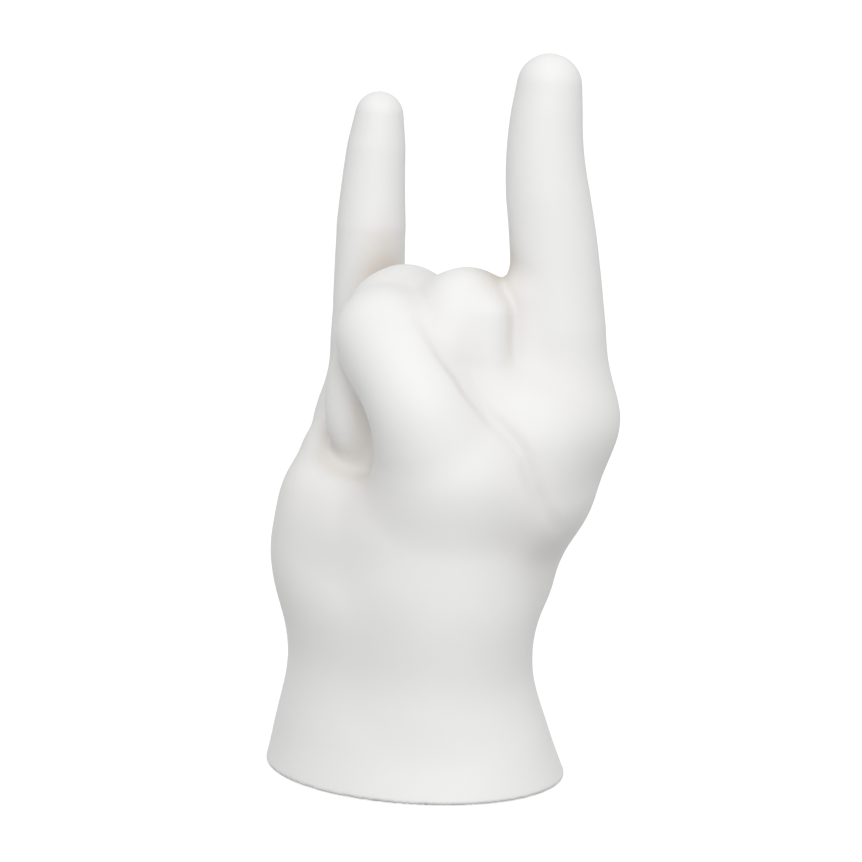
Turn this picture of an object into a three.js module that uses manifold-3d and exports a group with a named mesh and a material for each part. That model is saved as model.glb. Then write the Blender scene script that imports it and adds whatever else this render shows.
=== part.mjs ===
// A cast sculpture of a right hand with the index and little fingers raised, standing on its flared wrist.
// Millimetres, +Z up. The palm faces -Y and the thumb is on the +X side.
// The origin is the centre of the flat face that the sculpture rests on.
//
// The skin is a smooth distance field: tapered bones with flesh around them, blended together.
// The field is cut into marching cubes, its corners are drawn onto the true surface, and the skin
// is then parted at the joints into the wrist-and-palm casting and five separately cast digits.

import * as THREE from 'three';
import { edgeTable, triTable } from 'three/addons/objects/MarchingCubes.js';
import { mergeVertices } from 'three/addons/utils/BufferGeometryUtils.js';
import Module from 'manifold-3d';

const wasm = await Module();
wasm.setup();

// Foot, wrist and heel of the hand: an oval stem. A set is how far the oval's centre is off the axis.
const FOOT_WIDTH = 99;
const FOOT_DEPTH = 80;
const FOOT_EDGE_RADIUS = 1.5;
const FLARE_HEIGHT = 13;
const FLARE_WIDTH = 92;
const FLARE_DEPTH = 71;
const FLARE_SET = [-0.5, -0.5];
const WRIST_HEIGHT = 33;
const WRIST_WIDTH = 82;
const WRIST_DEPTH = 62;
const WRIST_SET = [-1, -1];
const HEEL_HEIGHT = 56;
const HEEL_WIDTH = 86;
const HEEL_DEPTH = 62.4;
const HEEL_SET = [-0.4, -2.3];
const PALM_HEIGHT = 84;
const PALM_WIDTH = 82;
const PALM_DEPTH = 57;
const PALM_SET = [0.5, 1.5];

// Palm: metacarpals from the carpus to the knuckles, with the muscle pads in front of them.
// A form is a tapered bar, with its two ends and the radius at each.
const CARPUS_HEIGHT = 64;
const CARPUS_RADIUS = 13;
const INDEX_CARPUS_RADIUS = 14;
const KNUCKLE_HEIGHT = 110;
const INDEX_CARPUS = [22, 17, CARPUS_HEIGHT];
const INDEX_SHAFT = [30, 19.5, KNUCKLE_HEIGHT - 20];
const INDEX_SHAFT_RADIUS = 15.5;
const MIDDLE_CARPUS = [8, 13, CARPUS_HEIGHT];
const RING_CARPUS = [-6, 11, CARPUS_HEIGHT];
const LITTLE_CARPUS = [-19, 8, CARPUS_HEIGHT];
const HYPOTHENAR = { from: [-24, -8, CARPUS_HEIGHT + 5], to: [-28, 0, KNUCKLE_HEIGHT - 18], radii: [18, 13.5] };
const PALM_PAD = { from: [-21, -14, KNUCKLE_HEIGHT - 26], to: [-1, -16, KNUCKLE_HEIGHT - 31], radii: [10, 10.5] };
const THENAR_EDGE = { from: [15.5, -17, KNUCKLE_HEIGHT - 8], to: [13, -15, KNUCKLE_HEIGHT - 44], radii: [8, 10.5] };
// Web between the thumb and the index finger, its outer side, and its ridge up to the middle finger's flank
const WEB = { from: [33, 1, KNUCKLE_HEIGHT - 18], to: [32, 3, KNUCKLE_HEIGHT], radii: [13, 11] };
const WEB_SIDE = { from: [40, 8.5, KNUCKLE_HEIGHT - 5], to: [39, 9, KNUCKLE_HEIGHT - 20], radii: [12.5, 12.5] };
const BRIDGE = { from: [25, 0, KNUCKLE_HEIGHT + 4], to: WEB_SIDE.from, radii: [9.5, 12.5] };
const FLANK = { from: [29.2, 0.9, KNUCKLE_HEIGHT + 31], to: [30.8, -2.1, KNUCKLE_HEIGHT + 8], radii: [4.8, 5.5] };
// What closes the narrow valley between that flank and the index finger
const INDEX_FILL = { from: [31, 12, KNUCKLE_HEIGHT + 34], to: [33.5, 9.5, KNUCKLE_HEIGHT + 10], radii: [6, 7.5] };
// What the curled fingers close around
const FIST_CORE = { from: [-4, 8, KNUCKLE_HEIGHT + 3], to: [15, 5, KNUCKLE_HEIGHT + 7], radii: [14, 13.5] };
const CLEFT_FILL = { from: [2, -5, KNUCKLE_HEIGHT - 13], to: [7, -9, KNUCKLE_HEIGHT + 12], radii: [11, 10] };
const KNUCKLE_FILL = { from: [-6.5, -7.5, KNUCKLE_HEIGHT + 31], to: [4.5, 0, KNUCKLE_HEIGHT + 32], radii: [8, 7] };

// Digits. Each phalanx leans from the vertical by its tilt, towards its heading in plan
// (0 is the palm side, 90 the thumb side), both in degrees. Radii run from the first joint to the tip.
// The bend is how much of the corner at each joint is rounded off. The root is the phalanx that
// grows out of the palm, and the digit is parted from the casting at a distance along it.
const INDEX = {
  knuckle: [37.5, 23.5, KNUCKLE_HEIGHT - 1],
  lengths: [49.5, 29, 20.5],
  tilts: [2.3, 7.5, -5],
  headings: [-40, -40, -40],
  radii: [15.3, 13, 11.9, 9.6],
  bend: 12,
  root: 0,
  parting: 46,
};
const MIDDLE = {
  knuckle: [17.5, 30, KNUCKLE_HEIGHT + 3],
  lengths: [44, 38, 14],
  tilts: [40, 158, 230],
  headings: [0, -3, -3],
  radii: [12.4, 13.2, 12, 9],
  bend: 12,
  root: 0,
  parting: 13,
};
const RING = {
  knuckle: [-5, 28, KNUCKLE_HEIGHT + 1],
  lengths: [43.8, 42, 15],
  tilts: [35, 155, 212],
  headings: [-4, -20, -16],
  radii: [12.8, 12.2, 11, 9],
  bend: 13,
  root: 0,
  parting: 13,
};
const LITTLE = {
  knuckle: [-33, 17, KNUCKLE_HEIGHT - 7],
  lengths: [44, 27, 22],
  tilts: [-1, 2.5, 5.5],
  headings: [-90, 120, 120],
  radii: [13.2, 10.4, 10.8, 7.4],
  bend: 12,
  root: 0,
  parting: 26,
};
const THUMB = {
  knuckle: [18, -8, CARPUS_HEIGHT - 36],
  lengths: [66.5, 28, 24],
  tilts: [6.1, 27.5, 49],
  headings: [72, -26, -106],
  radii: [16, 18.5, 15.2, 11.2],
  bend: 13,
  root: 1,
  parting: 13,
};

// A root swells out of the palm and fades into its digit, whose own flesh fills out meanwhile.
const ROOT_REACH = 0.8;
const ROOT_TAPER = 3;
const ROOT_INSET = 2;
const FULL_SHARE = 0.55;
const BEND_STEPS = 4;
const LEAST_BONE = 1;
// The thumb's tip rests on the ring finger, which a last bar inside its pad joins with a wide fillet.
const TIP_START = 0.6;
const TIP_INSETS = [1.5, 1];
const TIP_REACH = 20;
const TIP_FULL = 0.35;

// Fillets between the forms, from the widest joins in the palm to the tightest creases
const PALM_BLEND = 14;
const ROOT_BLEND = 10;
const CREASES = { knit: 7, core: 2.5, cleft: 6, flank: 7, fill: 8, tip: 12, fist: 5, index: 4, little: 3, thumb: 3 };
const THUMB_TIP_CREASE = 12;
// The fist's crease tightens within this distance of the index finger.
const BESIDE_INDEX_CREASE = 1.5;
const INDEX_CREASE_REACH = 8;

// Parting of the casting
const CUT_ORDER = ['thumb', 'middle', 'ring', 'index', 'little'];
const FIT_GAP = 0.3;
const CUT_MARGIN = 2.2;
const BLOCK_WIDTH = 3;

// Steel rod across each parting
const ROD_DIAMETER = 5;
const ROD_IN_PALM = 15;
const ROD_IN_DIGIT = 19;
const ROD_SIDES = 12;

// Hollow of the wrist and palm, and what fills and closes it
const WALL = 7;
const HOLLOW_TOP = 90;
const FELT_THICKNESS = 1;
const FELT_INSET = 3;
const DISC_THICKNESS = 6;
const DISC_LEDGE = 3;
const BUNG_DIAMETER = 18;
const BUNG_TAPER = 1.5;

// Sampling of the skin
const PLAN_STEP = 4.8;
const WRIST_STEP = 9.5;
const PALM_STEP = 6.5;
const FIST_STEP = 4.8;
const FINGER_STEP = 6.5;
const HOLLOW_STEP = 9;
const GRID_MARGIN = 8;
const RELAX_ROUNDS = 6;
const RELAX_PULL = 0.5;
const SETTLE_STEPS = 3;
const SLOPE_REACH = 0.05;
const LEAST_SLOPE = 0.2;
const OVAL_SIDES = 56;
const EDGE_STEPS = 3;
const EDGE_TURN = 60;
// Corner values nearer to zero than this are moved off it, so that no facet is a sliver
const SNAP = 0.25;
const TINY = 1e-6;

// The foot's rim stands just clear of the table, around the felt that is let into the foot up to FOOT_Z.
const RIM_Z = FIT_GAP;
const FOOT_Z = FELT_THICKNESS + FIT_GAP;
// How far the skin and the hollow run on below the origin before they are cut flat
const SKIRT = 8;
const SKIRT_FLARE = 3;

const radians = THREE.MathUtils.degToRad;
const { lerp } = THREE.MathUtils;

function smoothMin(a, b, blend) {
  const overlap = Math.max(blend - Math.abs(a - b), 0) / blend;
  return Math.min(a, b) - (overlap * overlap * blend) / 4;
}

function smoothMax(a, b, blend) {
  return -smoothMin(-a, -b, blend);
}

// Signed distance to a bone: a cone between two balls, round at both ends.
function bone(from, to, startRadius, endRadius) {
  const axis = to.clone().sub(from);
  const lengthSquared = axis.lengthSq();
  const taper = startRadius - endRadius;
  const slant = lengthSquared - taper * taper;
  return (x, y, z) => {
    const px = x - from.x;
    const py = y - from.y;
    const pz = z - from.z;
    const along = px * axis.x + py * axis.y + pz * axis.z;
    const beyond = along - lengthSquared;
    const cx = px * lengthSquared - axis.x * along;
    const cy = py * lengthSquared - axis.y * along;
    const cz = pz * lengthSquared - axis.z * along;
    const across = cx * cx + cy * cy + cz * cz;
    const alongSquared = along * along * lengthSquared;
    const beyondSquared = beyond * beyond * lengthSquared;
    const k = Math.sign(taper) * taper * taper * across;
    if (Math.sign(beyond) * slant * beyondSquared > k) {
      return Math.sqrt(across + beyondSquared) / lengthSquared - endRadius;
    }
    if (Math.sign(along) * slant * alongSquared < k) {
      return Math.sqrt(across + alongSquared) / lengthSquared - startRadius;
    }
    return (Math.sqrt((across * slant) / lengthSquared) + along * taper) / lengthSquared - startRadius;
  };
}

const at = (place) => new THREE.Vector3(...place);
const form = ({ from, to, radii }) => bone(at(from), at(to), ...radii);

// Joints of a digit, worked out from its knuckle along its phalanges.
function joints({ knuckle, lengths, tilts, headings }) {
  const points = [at(knuckle)];
  lengths.forEach((length, i) => {
    const tilt = radians(tilts[i]);
    const heading = radians(headings[i]);
    const step = new THREE.Vector3(
      Math.sin(tilt) * Math.sin(heading),
      -Math.sin(tilt) * Math.cos(heading),
      Math.cos(tilt),
    );
    points.push(points[i].clone().addScaledVector(step, length));
  });
  return points;
}

// Stations along a digit, each with its place and radius. The corner at each joint is rounded off.
function stationsOf({ lengths, radii, bend, root }, points) {
  const along = (i, share) => ({
    place: points[i].clone().lerp(points[i + 1], share),
    radius: lerp(radii[i], radii[i + 1], share),
  });
  const start = along(root, 0);
  start.radius -= ROOT_INSET;
  const stations = [start, along(root, FULL_SHARE)];
  for (let i = root + 1; i < lengths.length; i += 1) {
    const room = lengths[i - 1] * (i === root + 1 ? 1 - FULL_SHARE : 1) - LEAST_BONE;
    const before = along(i - 1, 1 - Math.min(bend, room) / lengths[i - 1]);
    const after = along(i, Math.min(bend, lengths[i] - LEAST_BONE) / lengths[i]);
    const curve = new THREE.QuadraticBezierCurve3(before.place, points[i], after.place);
    curve.getPoints(BEND_STEPS).forEach((place, n) => {
      stations.push({ place, radius: lerp(before.radius, after.radius, n / BEND_STEPS) });
    });
  }
  stations.push({ place: points[lengths.length], radius: radii[lengths.length] });
  return stations;
}

// Distance field of a chain of bones through a list of stations.
function chainField(stations) {
  const bones = stations.slice(1).map((to, i) => (
    bone(stations[i].place, to.place, stations[i].radius, to.radius)
  ));
  return (x, y, z) => bones.reduce((d, b) => Math.min(d, b(x, y, z)), Infinity);
}

function digit(shape) {
  const { root: first, radii } = shape;
  const points = joints(shape);
  const stations = stationsOf(shape, points);
  const top = points[first].clone().lerp(points[first + 1], ROOT_REACH);
  const topRadius = lerp(radii[first], radii[first + 1], ROOT_REACH) - ROOT_TAPER;
  const root = bone(points[first], top, radii[first], topRadius);
  return { shape, points, stations, root, field: chainField(stations) };
}

const digits = {
  index: digit(INDEX),
  middle: digit(MIDDLE),
  ring: digit(RING),
  little: digit(LITTLE),
  thumb: digit(THUMB),
};

// The stem: an oval drawn in from the foot to the wrist and out again to the heel of the hand.
// Each row holds its height, half width, half depth and the place of its centre.
const stemRows = [
  [-SKIRT - LEAST_BONE, FOOT_WIDTH / 2 + SKIRT_FLARE, FOOT_DEPTH / 2 + SKIRT_FLARE, 0, 0],
  [0, FOOT_WIDTH / 2, FOOT_DEPTH / 2, 0, 0],
  [FLARE_HEIGHT, FLARE_WIDTH / 2, FLARE_DEPTH / 2, ...FLARE_SET],
  [WRIST_HEIGHT, WRIST_WIDTH / 2, WRIST_DEPTH / 2, ...WRIST_SET],
  [HEEL_HEIGHT, HEEL_WIDTH / 2, HEEL_DEPTH / 2, ...HEEL_SET],
  [PALM_HEIGHT, PALM_WIDTH / 2, PALM_DEPTH / 2, ...PALM_SET],
  [KNUCKLE_HEIGHT, PALM_WIDTH / 2, PALM_DEPTH / 2, ...PALM_SET],
];

// Smooth value of one column of the stem's rows at height z.
function stemValue(z, column) {
  const last = stemRows.length - 2;
  let i = 1;
  while (i < last - 1 && z > stemRows[i + 1][0]) i += 1;
  const [p0, p1, p2, p3] = [i - 1, i, i + 1, Math.min(i + 2, last + 1)].map((n) => stemRows[n]);
  const span = p2[0] - p1[0];
  const t = THREE.MathUtils.clamp((z - p1[0]) / span, -1, 1);
  const m1 = ((p2[column] - p0[column]) / (p2[0] - p0[0])) * span;
  const m2 = ((p3[column] - p1[column]) / (p3[0] - p1[0])) * span;
  const t2 = t * t;
  const t3 = t2 * t;
  return (2 * t3 - 3 * t2 + 1) * p1[column] + (t3 - 2 * t2 + t) * m1
    + (3 * t2 - 2 * t3) * p2[column] + (t3 - t2) * m2;
}

function stem(x, y, z) {
  const halfWidth = stemValue(z, 1);
  const halfDepth = stemValue(z, 2);
  const dx = x - stemValue(z, 3);
  const dy = y - stemValue(z, 4);
  const k = Math.hypot(dx / halfWidth, dy / halfDepth);
  const slope = Math.hypot(dx / halfWidth ** 2, dy / halfDepth ** 2) / Math.max(k, TINY);
  const side = k < TINY ? -halfDepth : (k - 1) / slope;
  return smoothMax(side, z - PALM_HEIGHT, PALM_BLEND);
}

const carpal = (place, name) => (
  bone(at(place), digits[name].points[0], CARPUS_RADIUS, digits[name].shape.radii[0])
);
const palmForms = [
  bone(at(INDEX_CARPUS), at(INDEX_SHAFT), INDEX_CARPUS_RADIUS, INDEX_SHAFT_RADIUS),
  bone(at(INDEX_SHAFT), digits.index.points[0], INDEX_SHAFT_RADIUS, INDEX.radii[0]),
  carpal(MIDDLE_CARPUS, 'middle'),
  carpal(RING_CARPUS, 'ring'),
  carpal(LITTLE_CARPUS, 'little'),
  form(HYPOTHENAR),
  bone(digits.thumb.points[0], digits.thumb.points[1], THUMB.radii[0], THUMB.radii[1]),
  form(WEB_SIDE),
];

function palm(x, y, z) {
  return palmForms.reduce((d, b) => smoothMin(d, b(x, y, z), PALM_BLEND), stem(x, y, z));
}

const [web, palmPad, thenarEdge, bridge] = [WEB, PALM_PAD, THENAR_EDGE, BRIDGE].map(form);
const [fistCore, cleftFill, flank] = [FIST_CORE, CLEFT_FILL, FLANK].map(form);
const [knuckleFill, indexFill] = [KNUCKLE_FILL, INDEX_FILL].map(form);
const tipStart = digits.thumb.points[2].clone().lerp(digits.thumb.points[3], TIP_START);
const tipRadius = lerp(THUMB.radii[2], THUMB.radii[3], TIP_START);
const thumbTip = bone(tipStart, digits.thumb.points[3], tipRadius - TIP_INSETS[0], THUMB.radii[3] - TIP_INSETS[1]);

// The thumb's crease widens towards its tip, where it lies on the ring finger.
function thumbCrease(x, y, z) {
  const tip = digits.thumb.points[3];
  const away = Math.hypot(x - tip.x, y - tip.y, z - tip.z) / TIP_REACH;
  return lerp(THUMB_TIP_CREASE, CREASES.thumb, THREE.MathUtils.clamp(away - TIP_FULL, 0, 1));
}

// The fist's crease is tightest beside the index finger, which rises straight out of it.
function fistCrease(x, y, z) {
  const away = THREE.MathUtils.clamp(digits.index.field(x, y, z) / INDEX_CREASE_REACH, 0, 1);
  return lerp(BESIDE_INDEX_CREASE, CREASES.fist, away);
}

// The whole skin. The palm takes the web and the roots with wide fillets, the curled fingers knit
// together with what lies between them, and the digits join with tighter creases.
function hand(x, y, z) {
  const join = (d, field, blend) => smoothMin(d, field(x, y, z), blend);
  let body = palm(x, y, z);
  for (const pad of [web, palmPad, thenarEdge]) body = join(body, pad, PALM_BLEND);
  body = join(body, bridge, ROOT_BLEND);
  for (const { root } of Object.values(digits)) body = join(body, root, ROOT_BLEND);
  body = join(body, digits.index.field, CREASES.index);
  body = join(body, digits.little.field, CREASES.little);
  let fist = join(digits.ring.field(x, y, z), digits.middle.field, CREASES.knit);
  fist = join(fist, fistCore, CREASES.core);
  fist = join(fist, cleftFill, CREASES.cleft);
  fist = join(fist, flank, CREASES.flank);
  fist = join(fist, knuckleFill, CREASES.fill);
  fist = join(fist, thumbTip, CREASES.tip);
  body = join(body, indexFill, CREASES.fill);
  body = smoothMin(body, fist, fistCrease(x, y, z));
  body = join(body, digits.thumb.field, thumbCrease(x, y, z));
  return Math.max(body, -SKIRT - z);
}

// Evenly spaced sample planes between a list of heights, each stretch with its own step.
function planes(stops, steps) {
  const out = [stops[0]];
  steps.forEach((step, i) => {
    const count = Math.max(1, Math.round((stops[i + 1] - stops[i]) / step));
    for (let n = 1; n <= count; n += 1) out.push(lerp(stops[i], stops[i + 1], n / count));
  });
  return out;
}

function gradient(field, p) {
  return new THREE.Vector3(
    field(p.x + SLOPE_REACH, p.y, p.z) - field(p.x - SLOPE_REACH, p.y, p.z),
    field(p.x, p.y + SLOPE_REACH, p.z) - field(p.x, p.y - SLOPE_REACH, p.z),
    field(p.x, p.y, p.z + SLOPE_REACH) - field(p.x, p.y, p.z - SLOPE_REACH),
  ).divideScalar(2 * SLOPE_REACH);
}

// Closed mesh of the surface where the field is zero.
function polygonise(field, xs, ys, zs) {
  const nx = xs.length;
  const ny = ys.length;
  const index = (i, j, k) => i + nx * (j + ny * k);
  const values = new Float64Array(nx * ny * zs.length);
  zs.forEach((z, k) => ys.forEach((y, j) => xs.forEach((x, i) => {
    const d = field(x, y, z);
    values[index(i, j, k)] = d < 0 ? Math.min(d, -SNAP) : Math.max(d, SNAP);
  })));
  const corners = [[0, 0, 0], [1, 0, 0], [1, 1, 0], [0, 1, 0], [0, 0, 1], [1, 0, 1], [1, 1, 1], [0, 1, 1]];
  const edges = [[0, 1], [1, 2], [3, 2], [0, 3], [4, 5], [5, 6], [7, 6], [4, 7], [0, 4], [1, 5], [2, 6], [3, 7]];
  const points = [];
  const triangles = [];
  const seen = new Map();
  for (let k = 0; k + 1 < zs.length; k += 1) {
    for (let j = 0; j + 1 < ny; j += 1) {
      for (let i = 0; i + 1 < nx; i += 1) {
        const ids = corners.map(([a, b, c]) => index(i + a, j + b, k + c));
        const code = ids.reduce((bits, id, n) => bits | (values[id] > 0 ? 1 << n : 0), 0);
        if (edgeTable[code] === 0) continue;
        const corner = (n) => new THREE.Vector3(
          xs[i + corners[n][0]],
          ys[j + corners[n][1]],
          zs[k + corners[n][2]],
        );
        const vertex = (edge) => {
          const [a, b] = edges[edge];
          const key = `${Math.min(ids[a], ids[b])}_${Math.max(ids[a], ids[b])}`;
          if (!seen.has(key)) {
            const t = values[ids[a]] / (values[ids[a]] - values[ids[b]]);
            seen.set(key, points.length);
            points.push(corner(a).lerp(corner(b), t));
          }
          return seen.get(key);
        };
        for (let n = 16 * code; triTable[n] !== -1; n += 3) {
          triangles.push([vertex(triTable[n]), vertex(triTable[n + 1]), vertex(triTable[n + 2])]);
        }
      }
    }
  }
  return { points, triangles };
}

// Corners slide to the middle of their neighbours and back onto the surface, which evens the facets.
function relax(mesh, field) {
  const near = mesh.points.map(() => new Set());
  for (const [a, b, c] of mesh.triangles) {
    near[a].add(b).add(c);
    near[b].add(a).add(c);
    near[c].add(a).add(b);
  }
  const settle = (p) => {
    for (let n = 0; n < SETTLE_STEPS; n += 1) {
      const slope = gradient(field, p);
      p.addScaledVector(slope, -field(p.x, p.y, p.z) / Math.max(slope.lengthSq(), LEAST_SLOPE));
    }
  };
  mesh.points.forEach(settle);
  for (let round = 0; round < RELAX_ROUNDS; round += 1) {
    const middles = near.map((set) => {
      const sum = new THREE.Vector3();
      set.forEach((n) => sum.add(mesh.points[n]));
      return sum.divideScalar(set.size);
    });
    mesh.points.forEach((p, n) => {
      p.lerp(middles[n], RELAX_PULL);
      settle(p);
    });
  }
  return mesh;
}

// Solids, for cutting and joining
function signedVolume(points, triangles) {
  return triangles.reduce((sum, [a, b, c]) => (
    sum + points[a].dot(new THREE.Vector3().crossVectors(points[b], points[c])) / 6
  ), 0);
}

function solidFromMesh({ points, triangles }) {
  const outward = signedVolume(points, triangles) > 0;
  const triVerts = new Uint32Array(triangles.flatMap(([a, b, c]) => (outward ? [a, b, c] : [a, c, b])));
  const vertProperties = new Float32Array(points.flatMap((p) => [p.x, p.y, p.z]));
  return new wasm.Manifold(new wasm.Mesh({ numProp: 3, vertProperties, triVerts }));
}

function solidFrom(geometry) {
  const bare = geometry.clone();
  bare.deleteAttribute('normal');
  bare.deleteAttribute('uv');
  const merged = mergeVertices(bare);
  const { position } = merged.attributes;
  const points = [];
  for (let n = 0; n < position.count; n += 1) points.push(new THREE.Vector3().fromBufferAttribute(position, n));
  const triangles = [];
  for (let n = 0; n < merged.index.count; n += 3) {
    const [a, b, c] = [0, 1, 2].map((corner) => merged.index.getX(n + corner));
    if (a !== b && b !== c && c !== a) triangles.push([a, b, c]);
  }
  return solidFromMesh({ points, triangles });
}

function meshFromSolid(solid) {
  const { vertProperties, triVerts, numProp } = solid.getMesh();
  const points = [];
  for (let n = 0; n < vertProperties.length; n += numProp) {
    points.push(new THREE.Vector3(vertProperties[n], vertProperties[n + 1], vertProperties[n + 2]));
  }
  const triangles = [];
  for (let n = 0; n < triVerts.length; n += 3) triangles.push([triVerts[n], triVerts[n + 1], triVerts[n + 2]]);
  return { points, triangles };
}

// Drops the points that no triangle uses.
function compact({ points, triangles }) {
  const places = new Map();
  const kept = [];
  const renumber = (n) => {
    if (!places.has(n)) {
      places.set(n, kept.length);
      kept.push(points[n]);
    }
    return places.get(n);
  };
  return { triangles: triangles.map((triangle) => triangle.map(renumber)), points: kept };
}

// The largest body of a solid, without loose crumbs and closed voids.
function mainBody(solid) {
  const mesh = meshFromSolid(solid);
  const owner = mesh.points.map((_, n) => n);
  const find = (n) => {
    let top = n;
    while (owner[top] !== top) top = owner[top];
    owner[n] = top;
    return top;
  };
  for (const [a, b, c] of mesh.triangles) {
    owner[find(a)] = find(b);
    owner[find(b)] = find(c);
  }
  const groups = new Map();
  for (const triangle of mesh.triangles) {
    const top = find(triangle[0]);
    if (!groups.has(top)) groups.set(top, []);
    groups.get(top).push(triangle);
  }
  const bodies = [...groups.values()];
  const sizes = bodies.map((triangles) => signedVolume(mesh.points, triangles));
  const triangles = bodies[sizes.indexOf(Math.max(...sizes))];
  return solidFromMesh(compact({ points: mesh.points, triangles }));
}

// Moves every corner of a surface along its own slope.
function swell({ points, triangles }, field, distance) {
  return {
    points: points.map((p) => p.clone().addScaledVector(gradient(field, p).normalize(), distance)),
    triangles,
  };
}

// A turned oval solid from a list of [half width, height] points.
function ovalSolid(profile, depthRatio) {
  const points = profile.map(([radius, height]) => new THREE.Vector2(radius, height));
  const geometry = new THREE.LatheGeometry(points, OVAL_SIDES);
  geometry.rotateX(Math.PI / 2);
  geometry.scale(1, depthRatio, 1);
  return solidFrom(geometry);
}

const ovalDisc = (width, depth, low, high) => (
  ovalSolid([[0, low], [width / 2, low], [width / 2, high], [0, high]], depth / width)
);

// Turns a geometry made along +Y to a direction, and moves its middle to a place.
function aimed(geometry, direction, middle) {
  geometry.applyQuaternion(new THREE.Quaternion().setFromUnitVectors(new THREE.Vector3(0, 1, 0), direction));
  geometry.translate(middle.x, middle.y, middle.z);
  return solidFrom(geometry);
}

// A rod across a parting, from a length behind it to a length ahead.
function rodSolid({ place, direction }, back, ahead, diameter) {
  const geometry = new THREE.CylinderGeometry(diameter / 2, diameter / 2, back + ahead, ROD_SIDES);
  return aimed(geometry, direction, place.clone().addScaledVector(direction, (ahead - back) / 2));
}

// A block behind a parting plane, which keeps the root of the digit with the casting.
function rootBlock({ place, direction, radius }, shift) {
  const width = BLOCK_WIDTH * radius;
  const depth = radius + 2 * CUT_MARGIN;
  const geometry = new THREE.BoxGeometry(width, depth, width);
  return aimed(geometry, direction, place.clone().addScaledVector(direction, -depth / 2 - shift));
}

// Where a digit parts from the casting, which way its rod runs, and the chain of bones beyond.
function parting(name) {
  const { points, stations, shape } = digits[name];
  const { root, radii, lengths } = shape;
  const direction = points[root + 1].clone().sub(points[root]).normalize();
  const place = points[root].clone().addScaledVector(direction, shape.parting);
  const radius = lerp(radii[root], radii[root + 1], shape.parting / lengths[root]);
  const next = stations.findIndex((station) => station.place.clone().sub(place).dot(direction) > 0);
  return { place, direction, radius, chain: chainField([{ place, radius }, ...stations.slice(next)]) };
}

// The grid holds the foot and every station, with a margin around them.
const balls = Object.values(digits).flatMap(({ stations }) => stations);
const lowest = (axis) => Math.min(...balls.map(({ place, radius }) => place[axis] - radius));
const highest = (axis, list = balls) => Math.max(...list.map(({ place, radius }) => place[axis] + radius));
const span = (axis, size) => [
  Math.min(lowest(axis), -size / 2) - GRID_MARGIN,
  Math.max(highest(axis), size / 2) + GRID_MARGIN,
];
const curled = ['middle', 'ring', 'thumb'].flatMap((name) => digits[name].stations);
const grid = [
  planes(span('x', FOOT_WIDTH), [PLAN_STEP]),
  planes(span('y', FOOT_DEPTH), [PLAN_STEP]),
  planes(
    [-SKIRT - LEAST_BONE, HEEL_HEIGHT, PALM_HEIGHT, highest('z', curled), highest('z') + GRID_MARGIN],
    [WRIST_STEP, PALM_STEP, FIST_STEP, FINGER_STEP],
  ),
];
const skin = relax(polygonise(hand, ...grid), hand);

// The foot is cut flat, and its edge is rounded over until the arc meets the flare.
const depthRatio = FOOT_DEPTH / FOOT_WIDTH;
const arc = (turn) => [
  FOOT_WIDTH / 2 - FOOT_EDGE_RADIUS * (1 - Math.sin(turn)),
  RIM_Z + FOOT_EDGE_RADIUS * (1 - Math.cos(turn)),
];
const footProfile = [[0, RIM_Z]];
for (let n = 0; n <= EDGE_STEPS; n += 1) footProfile.push(arc((n / EDGE_STEPS) * radians(EDGE_TURN)));
const [arcEnd, arcTop] = footProfile.at(-1);
footProfile.push(
  [arcEnd + FOOT_WIDTH, arcTop + FOOT_WIDTH * Math.tan(radians(EDGE_TURN))],
  [arcEnd + FOOT_WIDTH, arcTop + 2 * highest('z')],
  [0, arcTop + 2 * highest('z')],
);
let casting = mainBody(solidFromMesh(skin)).intersect(ovalSolid(footProfile, depthRatio));

// Each digit is what lies inside its own chain of bones, beyond its parting.
const pieces = {};
for (const name of CUT_ORDER) {
  const cut = parting(name);
  const sleeveField = (x, y, z) => cut.chain(x, y, z) - CUT_MARGIN;
  const sleeve = relax(polygonise(sleeveField, ...grid), sleeveField);
  const zone = solidFromMesh(sleeve).subtract(rootBlock(cut, 0));
  const widerZone = solidFromMesh(swell(sleeve, sleeveField, FIT_GAP)).subtract(rootBlock(cut, FIT_GAP));
  pieces[name] = mainBody(casting.intersect(zone));
  casting = mainBody(casting.subtract(widerZone.add(zone)));
}

// Rods cross the partings in blind holes, drilled through whatever lies in their way.
const rods = {};
for (const name of CUT_ORDER) {
  const cut = parting(name);
  const hole = rodSolid(cut, ROD_IN_PALM + FIT_GAP, ROD_IN_DIGIT + FIT_GAP, ROD_DIAMETER + 2 * FIT_GAP);
  rods[name] = rodSolid(cut, ROD_IN_PALM, ROD_IN_DIGIT, ROD_DIAMETER);
  for (const piece of CUT_ORDER) pieces[piece] = mainBody(pieces[piece].subtract(hole));
  casting = mainBody(casting.subtract(hole));
}

// The hollow follows the skin of the wrist and palm at one wall's depth, up to its rounded top.
const hollowField = (x, y, z) => (
  Math.max(smoothMax(palm(x, y, z) + WALL, z - HOLLOW_TOP, PALM_BLEND), -SKIRT - z)
);
const hollowGrid = [
  planes(span('x', FOOT_WIDTH), [HOLLOW_STEP]),
  planes(span('y', FOOT_DEPTH), [HOLLOW_STEP]),
  planes([-SKIRT - LEAST_BONE, HOLLOW_TOP + HOLLOW_STEP], [HOLLOW_STEP]),
];
const hollow = relax(polygonise(hollowField, ...hollowGrid), hollowField);
const rebateWidth = FOOT_WIDTH - 2 * WALL + 2 * DISC_LEDGE;
const rebateDepth = FOOT_DEPTH - 2 * WALL + 2 * DISC_LEDGE;
const discTop = FOOT_Z + DISC_THICKNESS;
const feltWidth = FOOT_WIDTH - 2 * FELT_INSET;
const feltDepth = FOOT_DEPTH - 2 * FELT_INSET;
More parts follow.
